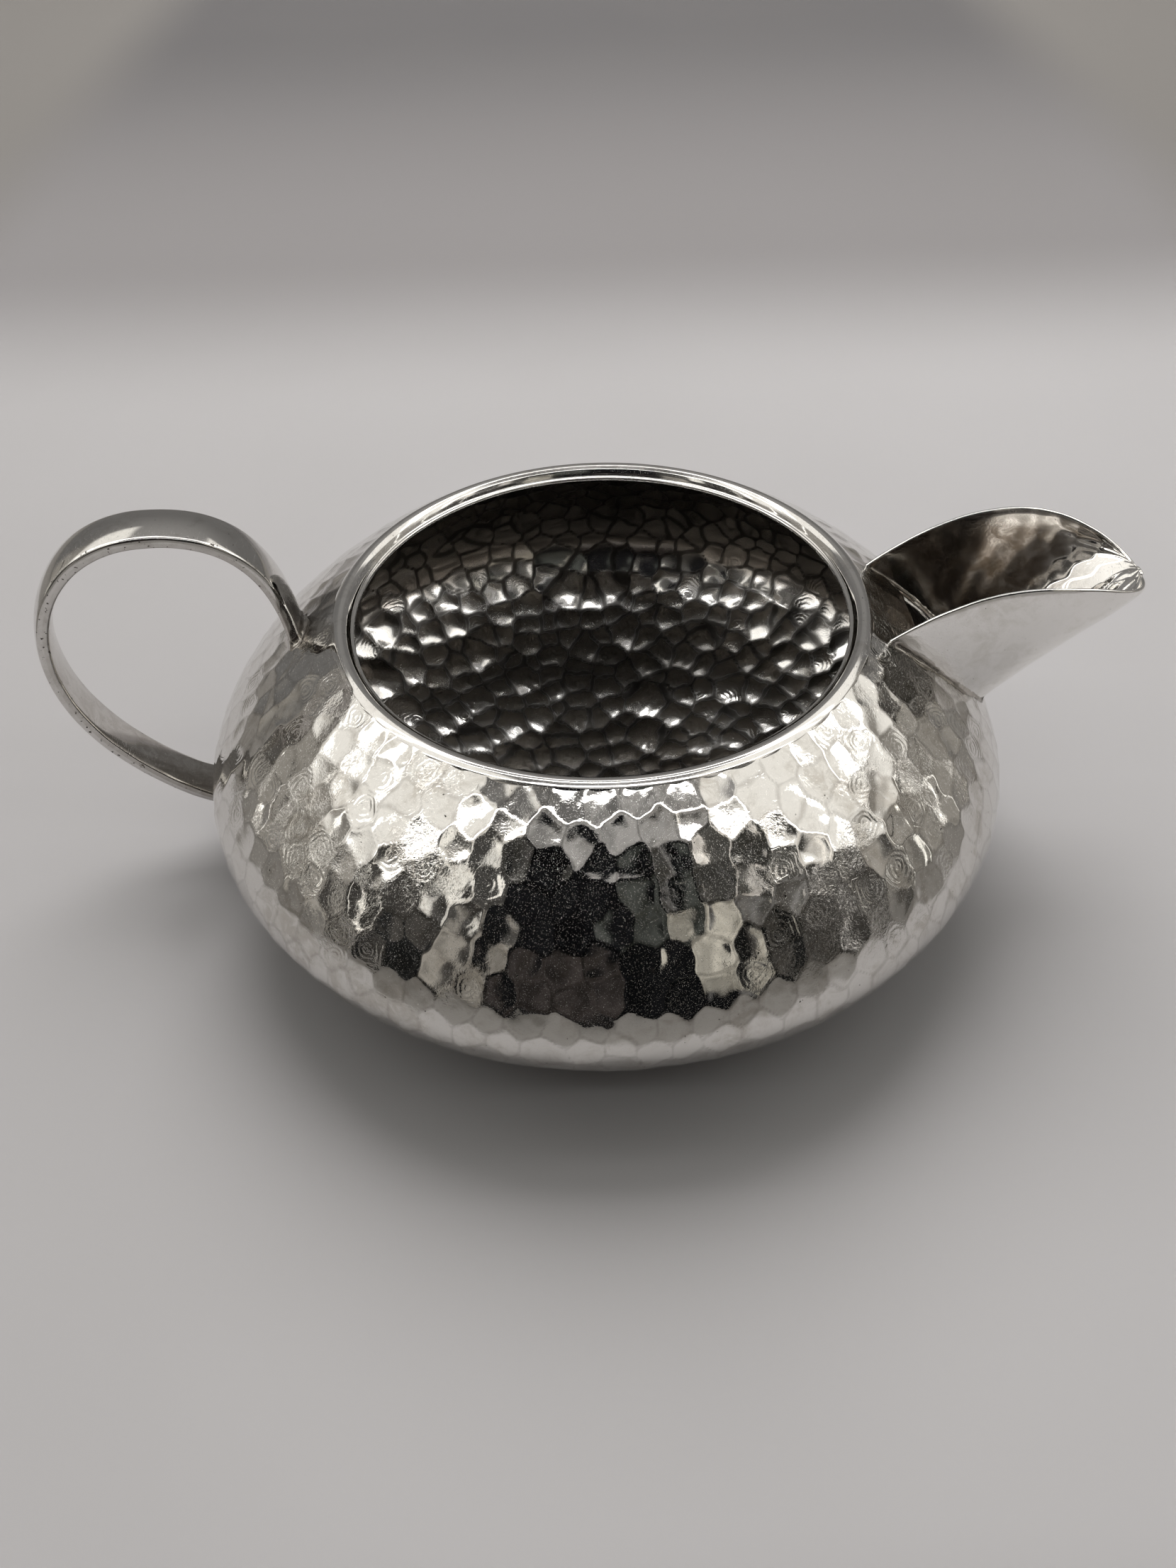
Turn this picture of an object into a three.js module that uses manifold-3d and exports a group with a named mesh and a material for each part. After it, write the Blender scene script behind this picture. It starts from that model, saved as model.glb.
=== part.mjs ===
// Silver cream jug: a squat hammered bowl with a rounded mouth rim, a folded trough spout
// and a strap loop handle. Millimetres, +Z up. The origin is the centre of the flat base;
// the spout points along +X and the handle along -X.

import * as THREE from 'three';
import { mergeVertices } from 'three/addons/utils/BufferGeometryUtils.js';
import { LoftGeometry } from 'three/addons/geometries/LoftGeometry.js';
import Module from 'manifold-3d';

const wasm = await Module();
wasm.setup();

// Joints between separate pieces keep this gap
const GAP = 0.3;

// Body: two superellipse halves that meet at the belly, cut flat at the base
const WALL = 1.2;
const BELLY_RADIUS = 56.5;
const BELLY_HEIGHT = 20.2;
const SHOULDER = { rise: 36.2, power: 1.55 };
const UNDERSIDE = { rise: 22, power: 2 };
const BODY_SEGMENTS = 60;
const CURVE_STEPS = 8;

// Mouth rim: a rounded ring let into the top of the body, sloping down to its inner lip
const RIM = { inner: 33, outer: 35, seat: 42.6, crest: 43.85, lip: 42 };
const RIM_STEPS = 4;

// Spout: a U-shaped trough whose two top edges are arched and close to a rounded nose
const SPOUT = {
  root: 36, rootHalfWidth: 8.8, tip: 72,
  crest: 56.4, crestHeight: 49.6, crestHalfWidth: 9.8, rootFall: 0.0225, noseFall: 0.0184, nosePower: 2.3,
  keelSlope: 0.78, keelBend: 0.0145, keelRoot: 12, sectionPower: 2.1, sheet: 0.8,
};
const SPOUT_STATIONS = 18;
const SPOUT_SECTION_STEPS = 14;
const SPOUT_NOSE_SHARE = 0.995;
const SPOUT_LEAST_DEPTH = 0.1;
const HOLLOW_LIFT = 2;

// Pour hole through the body wall, hidden inside the trough
const POUR_HOLE = { halfWidth: 7.6, top: 38.6, spring: 33.5, floor: 25.5, from: 34, to: 60 };
const POUR_HOLE_STEPS = 10;

// Handle: a crowned strap bent in an upright plane that is turned a little from the spout's axis,
// and twisted a little more towards its lower end
const HANDLE = {
  halfWidth: 3.6, halfEdge: 0.75, outerCrown: 0.5, innerCrown: 0.3, footFlare: 0.2,
  turn: THREE.MathUtils.degToRad(6), pivot: new THREE.Vector3(-42.9, 1.4, 0),
  upperTwist: THREE.MathUtils.degToRad(3), lowerTwist: THREE.MathUtils.degToRad(12),
};
const HANDLE_LEGS = [
  [[-41.9, 34], [-41.5, 50.5], [-47, 57], [-58.2, 57]],
  [[-58.2, 57], [-68, 57], [-75, 48.5], [-75, 38]],
  [[-75, 38], [-75, 27.3], [-68, 19], [-62.3, 14.3]],
  [[-62.3, 14.3], [-59.4, 12], [-55.5, 9.8], [-44, 10]],
];
const HANDLE_STATIONS = 44;
const HANDLE_FACE_STEPS = 4;
const FOOT_SHARE = 0.14;

// Solder: a thin fillet where each piece meets the body
const FILLET_SPREAD = 0.9;
const FILLET_DEPTH = 0.9;

const SILVER = { color: 0xc9c5bd, roughness: 0.16, metalness: 1 };
const POLISHED = { color: 0xd2cec6, roughness: 0.12, metalness: 1 };
const SOLDER = { color: 0xb4afa4, roughness: 0.3, metalness: 1 };

// ---- solids ----

function toSolid(shape) {
  const bare = new THREE.BufferGeometry();
  bare.setAttribute('position', shape.getAttribute('position'));
  bare.setIndex(shape.getIndex());
  const merged = mergeVertices(bare);
  const index = merged.index.array;
  const triangles = [];
  for (let i = 0; i < index.length; i += 3) {
    const [a, b, c] = [index[i], index[i + 1], index[i + 2]];
    if (a !== b && b !== c && c !== a) triangles.push(a, b, c);
  }
  return new wasm.Manifold(new wasm.Mesh({
    numProp: 3,
    vertProperties: Float32Array.from(merged.attributes.position.array),
    triVerts: Uint32Array.from(triangles),
  }));
}

function toGeometry(solid) {
  const result = solid.getMesh();
  const geometry = new THREE.BufferGeometry();
  geometry.setAttribute('position', new THREE.BufferAttribute(result.vertProperties, 3));
  geometry.setIndex(new THREE.BufferAttribute(result.triVerts, 1));
  geometry.computeVertexNormals();
  return geometry;
}

function piece(name, solid, finish) {
  const mesh = new THREE.Mesh(toGeometry(solid), new THREE.MeshStandardMaterial(finish));
  mesh.name = name;
  return mesh;
}

function turned(outline, segments = BODY_SEGMENTS) {
  return toSolid(new THREE.LatheGeometry(outline, segments).rotateX(Math.PI / 2));
}

// ---- body ----

// Outline of the body from the edge of its base up to a given radius, drawn in by an inset
function bodyCurve(inset, topRadius) {
  const radius = BELLY_RADIUS - inset;
  const pointAt = (half, side, angle) => new THREE.Vector2(
    radius * Math.cos(angle) ** (2 / half.power),
    BELLY_HEIGHT + side * (half.rise - inset) * Math.sin(angle) ** (2 / half.power),
  );
  const baseShare = (BELLY_HEIGHT - inset) / (UNDERSIDE.rise - inset);
  const baseAngle = Math.asin(baseShare ** (UNDERSIDE.power / 2));
  const topAngle = Math.acos((topRadius / radius) ** (SHOULDER.power / 2));
  const points = [];
  for (let i = CURVE_STEPS; i > 0; i--) points.push(pointAt(UNDERSIDE, -1, baseAngle * i / CURVE_STEPS));
  for (let i = 0; i <= CURVE_STEPS; i++) points.push(pointAt(SHOULDER, 1, topAngle * i / CURVE_STEPS));
  return points;
}

// The body without its hollow, grown by an allowance, to trim what is soldered to it
function bodyBlank(allowance) {
  const curve = bodyCurve(-allowance, RIM.inner);
  const floor = new THREE.Vector2(0, curve[0].y);
  const top = new THREE.Vector2(0, curve.at(-1).y);
  return turned([floor, ...curve, top]);
}

function pourHole() {
  const { halfWidth, top, spring, floor, from, to } = POUR_HOLE;
  const outline = new THREE.Shape();
  outline.moveTo(-halfWidth, top);
  outline.lineTo(-halfWidth, spring);
  outline.bezierCurveTo(-halfWidth, floor, halfWidth, floor, halfWidth, spring);
  outline.lineTo(halfWidth, top);
  outline.closePath();
  const prism = new THREE.ExtrudeGeometry(outline, {
    depth: to - from, bevelEnabled: false, curveSegments: POUR_HOLE_STEPS,
  });
  const standUp = new THREE.Matrix4().makeBasis(
    new THREE.Vector3(0, 1, 0), new THREE.Vector3(0, 0, 1), new THREE.Vector3(1, 0, 0),
  );
  return toSolid(prism.applyMatrix4(standUp).translate(from, 0, 0));
}

function bodyShell() {
  const seatRadius = RIM.outer + GAP;
  const outside = bodyCurve(0, seatRadius);
  const inside = bodyCurve(WALL, seatRadius).reverse();
  const axis = (height) => new THREE.Vector2(0, height);
  return turned([axis(0), ...outside, ...inside, axis(WALL)]).subtract(pourHole());
}

// ---- mouth rim ----

function mouthRim() {
  const { inner, outer, seat, crest, lip } = RIM;
  const section = new THREE.Shape();
  section.moveTo(outer, seat);
  section.lineTo(outer, crest);
  section.quadraticCurveTo(outer - 0.9, crest + 0.1, inner + 0.4, lip + 0.6);
  section.quadraticCurveTo(inner, lip, inner + 0.15, lip - 0.4);
  section.quadraticCurveTo(inner + 0.6, lip - 0.8, outer, seat);
  const points = section.getPoints(RIM_STEPS);
  points.splice(-1, 1, points[0].clone());
  return turned(points);
}

// ---- spout ----

function spoutHalfWidth(x, inset) {
  const { root, rootHalfWidth, crest, crestHalfWidth, tip, nosePower } = SPOUT;
  if (x < crest) {
    return THREE.MathUtils.mapLinear(x, root, crest, rootHalfWidth, crestHalfWidth) - inset;
  }
  const share = Math.min(1, (x - crest) / (tip - inset - crest));
  return (crestHalfWidth - inset) * (1 - share ** nosePower) ** (1 / nosePower);
}

function spoutEdgeHeight(x) {
  const fall = x < SPOUT.crest ? SPOUT.rootFall : SPOUT.noseFall;
  return SPOUT.crestHeight - fall * (x - SPOUT.crest) ** 2;
}

// The keel bends down from the tip and levels off inside the body
function spoutKeelHeight(x, inset) {
  const back = SPOUT.tip - x;
  const slantInset = inset * Math.hypot(1, SPOUT.keelSlope);
  const keel = spoutEdgeHeight(SPOUT.tip) - SPOUT.keelSlope * back - SPOUT.keelBend * back ** 2;
  return Math.max(SPOUT.keelRoot, keel + slantInset);
}

// U-shaped section of the trough, closed across its top, which a lift raises
function spoutSection(x, inset, lift) {
  const halfWidth = spoutHalfWidth(x, inset);
  const edge = spoutEdgeHeight(x);
  const depth = Math.max(edge - spoutKeelHeight(x, inset), SPOUT_LEAST_DEPTH);
  const points = [new THREE.Vector3(x, -halfWidth, edge + lift)];
  for (let i = 0; i <= SPOUT_SECTION_STEPS; i++) {
    const angle = Math.PI * i / SPOUT_SECTION_STEPS;
    const across = -Math.sign(Math.cos(angle)) * Math.abs(Math.cos(angle)) ** (2 / SPOUT.sectionPower);
    const down = Math.sin(angle) ** (2 / SPOUT.sectionPower);
    points.push(new THREE.Vector3(x, halfWidth * across, edge - depth * down));
  }
  points.push(new THREE.Vector3(x, halfWidth, edge + lift));
  return points;
}

// The trough as a filled form, drawn in by an inset
function spoutForm(inset, lift) {
  const sections = [];
  for (let i = 0; i <= SPOUT_STATIONS; i++) {
    const share = Math.sin(Math.PI / 2 * i / SPOUT_STATIONS);
    const x = THREE.MathUtils.lerp(SPOUT.root, SPOUT.tip - inset, share * SPOUT_NOSE_SHARE);
    sections.push(spoutSection(x, inset, lift));
  }
  return toSolid(new LoftGeometry(sections, { capStart: true, capEnd: true }));
}

function spoutShell() {
  return spoutForm(0, 0).subtract(spoutForm(SPOUT.sheet, HOLLOW_LIFT)).subtract(bodyBlank(GAP));
}

function spoutSeam() {
  const band = bodyBlank(GAP + FILLET_DEPTH).subtract(bodyBlank(GAP));
  return spoutForm(-GAP - FILLET_SPREAD, 0).intersect(band).subtract(spoutForm(-GAP, HOLLOW_LIFT));
}

// ---- handle ----

function handlePath() {
  const path = new THREE.CurvePath();
  for (const leg of HANDLE_LEGS) {
    path.add(new THREE.CubicBezierCurve3(...leg.map(([x, z]) => new THREE.Vector3(x, 0, z))));
  }
  return path;
}

// Section of the strap: across its width, and out from the loop's centre, grown by an allowance
function strapSection(share, allowance) {
  const fromFoot = Math.min(share, 1 - share) / FOOT_SHARE;
  const flare = 1 + HANDLE.footFlare * Math.max(0, 1 - fromFoot) ** 2;
  const halfWidth = HANDLE.halfWidth * flare + allowance;
  const halfEdge = HANDLE.halfEdge + allowance;
  const points = [];
  for (const [side, crown] of [[1, HANDLE.outerCrown], [-1, HANDLE.innerCrown]]) {
    for (let i = 0; i <= HANDLE_FACE_STEPS; i++) {
      const across = 2 * i / HANDLE_FACE_STEPS - 1;
      points.push([side * halfWidth * across, side * (halfEdge + crown * (1 - across ** 2))]);
    }
  }
  return points;
}

// The strap between two shares of its path
function strapForm(allowance, from = 0, to = 1) {
  const path = handlePath();
  const sections = [];
  const steps = Math.ceil(HANDLE_STATIONS * (to - from));
  for (let i = 0; i <= steps; i++) {
    const share = THREE.MathUtils.lerp(from, to, i / steps);
    const centre = path.getPointAt(share);
    const tangent = path.getTangentAt(share);
    const twist = THREE.MathUtils.lerp(HANDLE.upperTwist, HANDLE.lowerTwist, share);
    const across = new THREE.Vector3(-Math.sin(twist), Math.cos(twist), 0);
    across.projectOnPlane(tangent).normalize();
    const outward = new THREE.Vector3().crossVectors(across, tangent);
    sections.push(strapSection(share, allowance).map(([y, out]) => (
      centre.clone().addScaledVector(across, y).addScaledVector(outward, out)
    )));
  }
  const { pivot, turn } = HANDLE;
  const loft = new LoftGeometry(sections, { capStart: true, capEnd: true });
  loft.translate(-pivot.x, 0, 0).rotateZ(turn).translate(pivot.x, pivot.y, 0);
  return toSolid(loft);
}

const handleStrap = () => strapForm(0).subtract(bodyBlank(GAP));

// Collar of solder round one foot of the strap
function footSolder(from, to) {
  const band = bodyBlank(GAP + FILLET_DEPTH).subtract(bodyBlank(GAP));
  return strapForm(GAP + FILLET_SPREAD, from, to).intersect(band).subtract(strapForm(GAP));
}

// ---- assembly ----

const jug = new THREE.Group();
jug.add(piece('body_shell', bodyShell(), SILVER));
jug.add(piece('mouth_rim', mouthRim(), POLISHED));
jug.add(piece('spout_shell', spoutShell(), POLISHED));
jug.add(piece('spout_solder_seam', spoutSeam(), SOLDER));
jug.add(piece('handle_strap', handleStrap(), POLISHED));
jug.add(piece('handle_upper_solder', footSolder(0, FOOT_SHARE), SOLDER));
jug.add(piece('handle_lower_solder', footSolder(1 - FOOT_SHARE, 1), SOLDER));

export default jug;
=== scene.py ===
"""Looks of the silver cream jug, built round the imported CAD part: hammered bowl, rounded mouth rim,
trough spout, strap handle and the solder that joins them, on a plain pale floor."""

import math

import bpy
import numpy as np
from mathutils import Matrix


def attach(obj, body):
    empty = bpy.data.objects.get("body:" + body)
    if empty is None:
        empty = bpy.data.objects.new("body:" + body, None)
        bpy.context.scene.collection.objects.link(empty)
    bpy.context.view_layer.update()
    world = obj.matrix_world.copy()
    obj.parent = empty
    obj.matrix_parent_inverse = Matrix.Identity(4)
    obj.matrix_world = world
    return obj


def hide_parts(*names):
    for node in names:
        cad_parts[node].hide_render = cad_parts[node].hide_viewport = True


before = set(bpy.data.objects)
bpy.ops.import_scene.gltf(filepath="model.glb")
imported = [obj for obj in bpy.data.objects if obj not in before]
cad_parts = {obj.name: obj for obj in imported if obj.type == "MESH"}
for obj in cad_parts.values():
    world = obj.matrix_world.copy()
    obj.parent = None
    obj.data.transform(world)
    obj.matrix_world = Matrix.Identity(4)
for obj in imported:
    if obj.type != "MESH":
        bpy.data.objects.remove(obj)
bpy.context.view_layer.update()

# Every length below is in millimetres, and MM turns it into Blender's metres.
MM = 0.001
TAU = 2 * math.pi

# ---- the jug's main shape, as in the CAD part ----

WALL = 1.2
BELLY_RADIUS = 56.5
BELLY_HEIGHT = 20.2
SHOULDER = (36.2, 1.55)
UNDERSIDE = (22.0, 2.0)
MOUTH_RADIUS = 35.3

SPOUT = dict(root=36.0, root_half=8.8, tip=72.0, crest=56.4, crest_height=49.6, crest_half=9.8,
             root_fall=0.0225, nose_fall=0.0184, nose_power=2.3,
             keel_slope=0.78, keel_bend=0.0145, section_power=2.1, sheet=0.55)

HANDLE_LEGS = [
    [(-41.9, 34), (-41.5, 50.5), (-47, 57), (-58.2, 57)],
    [(-58.2, 57), (-68, 57), (-75, 48.5), (-75, 38)],
    [(-75, 38), (-75, 27.3), (-68, 19), (-62.3, 14.3)],
    [(-62.3, 14.3), (-59.4, 12), (-55.5, 9.8), (-44, 10)],
]
HANDLE_TURN = math.radians(6)
HANDLE_PIVOT = (-42.9, 1.4)
HANDLE_TWIST = (math.radians(3), math.radians(12))
STRAP = dict(half_width=3.6, half_edge=0.75, outer_crown=0.5, inner_crown=0.3, flare=0.2, foot=0.14)


# ---- small mesh tools ----

def make_object(name, points, faces, attributes=None):
    """A smooth-shaded mesh object from points in millimetres, facing outwards."""
    points = np.asarray(points, float)
    mesh = bpy.data.meshes.new(name)
    mesh.from_pydata((points * MM).tolist(), [], [tuple(int(i) for i in f) for f in faces])
    mesh.update()
    for key, values in (attributes or {}).items():
        layer = mesh.attributes.new(key, "FLOAT", "POINT")
        layer.data.foreach_set("value", np.asarray(values, np.float32))
    mesh.shade_smooth()
    piece = bpy.data.objects.new(name, mesh)
    bpy.context.scene.collection.objects.link(piece)
    if signed_volume(mesh) < 0:
        mesh.flip_normals()
    return piece


def signed_volume(mesh):
    mesh.calc_loop_triangles()
    count = len(mesh.loop_triangles)
    corners = np.empty(count * 3, np.int32)
    mesh.loop_triangles.foreach_get("vertices", corners)
    points = np.empty(len(mesh.vertices) * 3)
    mesh.vertices.foreach_get("co", points)
    a, b, c = points.reshape(-1, 3)[corners.reshape(-1, 3)].transpose(1, 0, 2)
    return float(np.einsum("ij,ij->i", a, np.cross(b, c)).sum()) / 6


def arc_length(line):
    steps = np.linalg.norm(np.diff(line, axis=0), axis=1)
    return np.concatenate([[0], np.cumsum(steps)])


def resample(line, step=None, count=None):
    """Points evenly spaced along a line."""
    line = np.asarray(line, float)
    length = arc_length(line)
    count = count or max(2, int(round(length[-1] / step)) + 1)
    at = np.linspace(0, length[-1], count)
    return np.stack([np.interp(at, length, line[:, i]) for i in range(line.shape[1])], 1)


def soften(line, spread, closed=False):
    """Rounds a line's corners with a Gaussian of that spread along it, in millimetres."""
    step = arc_length(line)[-1] / (len(line) - 1)
    reach = max(1, int(3 * spread / step))
    weights = np.exp(-0.5 * (np.arange(-reach, reach + 1) * step / spread) ** 2)
    weights /= weights.sum()
    if closed:
        padded = np.concatenate([line[-reach:], line, line[:reach]])
    else:
        padded = np.concatenate([2 * line[0] - line[reach:0:-1], line, 2 * line[-1] - line[-2:-reach - 2:-1]])
    return np.stack([np.convolve(padded[:, i], weights, "valid") for i in range(line.shape[1])], 1)


def unit(vectors):
    return vectors / np.maximum(np.linalg.norm(vectors, axis=-1, keepdims=True), 1e-12)


def wobble(angle, seed, strength, waves=(2, 3, 5, 8, 13)):
    """A smooth periodic unevenness round a circle."""
    local = np.random.default_rng(seed)
    total = np.zeros_like(angle)
    for count in waves:
        total += local.normal() / math.sqrt(count) * np.sin(count * angle + local.uniform(0, TAU))
    return strength * total


def tube_faces(rows, columns, closed_rows=False, closed_columns=True):
    """Quads of a grid of rows by columns, wrapping round where it is closed."""
    faces = []
    for i in range(rows if closed_rows else rows - 1):
        a, b = i * columns, (i + 1) % rows * columns
        for j in range(columns if closed_columns else columns - 1):
            k = (j + 1) % columns
            faces.append((a + j, a + k, b + k, b + j))
    return faces


# ---- body surface ----

def body_curve(inset, top_radius, steps=500):
    """(radius, height) from the base's edge up to a radius, drawn in by an inset."""
    radius = BELLY_RADIUS - inset
    def half(shape, side, angles):
        rise, power = shape
        return np.stack([radius * np.cos(angles) ** (2 / power),
                         BELLY_HEIGHT + side * (rise - inset) * np.sin(angles) ** (2 / power)], 1)
    base = math.asin(((BELLY_HEIGHT - inset) / (UNDERSIDE[0] - inset)) ** (UNDERSIDE[1] / 2))
    top = math.acos((top_radius / radius) ** (SHOULDER[1] / 2))
    lower = half(UNDERSIDE, -1, np.linspace(base, 0, steps))
    upper = half(SHOULDER, 1, np.linspace(0, top, steps))
    return np.concatenate([lower, upper[1:]])


def body_distance(points):
    """Rough distance of points outside the body's outer surface."""
    radius = np.hypot(points[..., 0], points[..., 1])
    height = points[..., 2] - BELLY_HEIGHT
    rise = np.where(height > 0, SHOULDER[0], UNDERSIDE[0])
    power = np.where(height > 0, SHOULDER[1], UNDERSIDE[1])
    x, z = radius / BELLY_RADIUS, np.abs(height) / rise
    value = x ** power + z ** power - 1
    slope = np.hypot(power * x ** (power - 1) / BELLY_RADIUS, power * z ** (power - 1) / rise)
    return value / np.maximum(slope, 1e-9)


def body_normal(points):
    step = 0.05
    moves = [body_distance(points + step * axis) - body_distance(points - step * axis) for axis in np.eye(3)]
    return unit(np.stack(moves, -1))


def onto_body(points, height=0.0):
    for _ in range(4):
        points = points - (body_distance(points) - height)[..., None] * body_normal(points)
    return points


# ---- hammer marks ----

MARK_WIDTH = 4.3
ROW_PITCH = MARK_WIDTH * 0.86
REACH_ROWS = 2.4  # rows on either side whose marks can reach a ring


def mark_rows(radius_at, bend_at, start, end, seed):
    """Rows of hammer blows along a profile: each blow's place, curves, tilt and depth."""
    local = np.random.default_rng(seed)
    rows = []
    for index, s in enumerate(np.arange(start, end, ROW_PITCH)):
        radius = radius_at(s)
        count = max(5, int(round(TAU * radius / MARK_WIDTH)))
        angle = (np.arange(count) + 0.5 * (index % 2)) * TAU / count + local.uniform(-0.1, 0.1)
        angle += local.uniform(-0.13, 0.13, count) * MARK_WIDTH / radius
        across_curve, along_curve, spread = bend_at(s)
        share = local.uniform(*spread, count)
        rows.append(dict(
            s=s + local.uniform(-0.12, 0.12, count) * MARK_WIDTH, mean=s, angle=angle, count=count,
            across_curve=across_curve * share, along_curve=along_curve * share,
            tilt=local.normal(0, 1, (count, 2)), depth=local.normal(0, 1, count),
            tone=local.uniform(0, 1, count)))
    return rows


def struck(rows, s, radius, angle, tilt_share, depth_share, lean=0.0):
    """The struck surface on one ring: its height, and the tone, nearness and edge of the mark that made it.

    Each mark is a shallow dish with its own tilt, and the lowest dish wins, so marks meet at sharp edges.
    """
    heights, tones, reaches = [], [], []
    # The blows' outlines wander a little
    stray_s = 0.14 * np.sin(angle * 61 + 1.3 * s) + 0.08 * np.sin(angle * 103 - 1.9 * s + 1)
    stray_a = (0.14 * np.sin(angle * 47 - 1.5 * s + 2) + 0.08 * np.sin(angle * 89 + 2.1 * s)) / max(radius, 8)
    fade = min(1, radius / 20)
    angle = angle + stray_a * fade
    for row in rows:
        if abs(row["mean"] - s) > REACH_ROWS * ROW_PITCH:
            continue
        pitch = TAU / row["count"]
        nearest = np.round((angle - row["angle"][0]) / pitch).astype(int)
        for shift in (-1, 0, 1):
            k = (nearest + shift) % row["count"]
            across = (angle - row["angle"][k] + math.pi) % TAU - math.pi
            across = across * radius
            along = s + stray_s * fade - row["s"][k]
            gap = across ** 2 + along ** 2
            height = row["across_curve"][k] * across ** 2 + row["along_curve"][k] * along ** 2
            height += depth_share * row["depth"][k]
            height += tilt_share * (row["tilt"][k, 0] * across + row["tilt"][k, 1] * along)
            height += lean * along
            heights.append(height)
            tones.append(row["tone"][k])
            reaches.append(np.sqrt(gap))
    heights = np.array(heights)
    order = np.argsort(heights, axis=0)
    first, second = order[0], order[1]
    pick = np.arange(len(angle))
    lowest = heights[first, pick]
    edge = heights[second, pick] - lowest
    return lowest, np.array(tones)[first, pick], np.array(reaches)[first, pick], edge


# ---- body ----

FULL_COLUMNS = 864
OUTER_STEP = 0.41
INNER_STEP = 0.55
BASE_STEP = 1.6
BASE_RADIUS = 23.5
SMOOTH_SHADED_HEIGHT = 13.5  # above this the inside is nearly smooth, and its tone is painted dark as shade

# How the blows shape each side: extra dishing, tilt and depth of a mark, and how far they bite
OUTER_DISH = (0.013, 0.01)
OUTER_SPREAD = (0.8, 1.25)
OUTER_TILT, OUTER_UNEVEN, OUTER_BITE = 0.013, 0.008, 0.075
INNER_DOME = 0.047
INNER_SPREAD = (0.7, 1.2)
INNER_TILT, INNER_UNEVEN, INNER_SWELL, INNER_LEAN = 0.065, 0.02, 0.13, 0.15


def columns_at(radius):
    for share, limit in ((1, 30), (2, 15), (4, 7)):
        if radius > limit:
            return FULL_COLUMNS // share
    return FULL_COLUMNS // 8


def join_rings(first, first_count, second, second_count):
    """Faces between two rings of vertices whose counts are equal or differ by a factor of two."""
    faces = []
    if first_count == second_count:
        for i in range(first_count):
            k = (i + 1) % first_count
            faces.append((first + i, first + k, second + k, second + i))
    elif first_count == 2 * second_count:
        for i in range(second_count):
            a, b, c = first + 2 * i, first + 2 * i + 1, first + (2 * i + 2) % first_count
            d, e = second + i, second + (i + 1) % second_count
            faces += [(a, b, d), (b, e, d), (b, c, e)]
    else:
        for i in range(first_count):
            a, b, c = second + 2 * i, second + 2 * i + 1, second + (2 * i + 2) % second_count
            d, e = first + i, first + (i + 1) % first_count
            faces += [(b, a, d), (e, b, d), (c, b, e)]
    return faces


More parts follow.
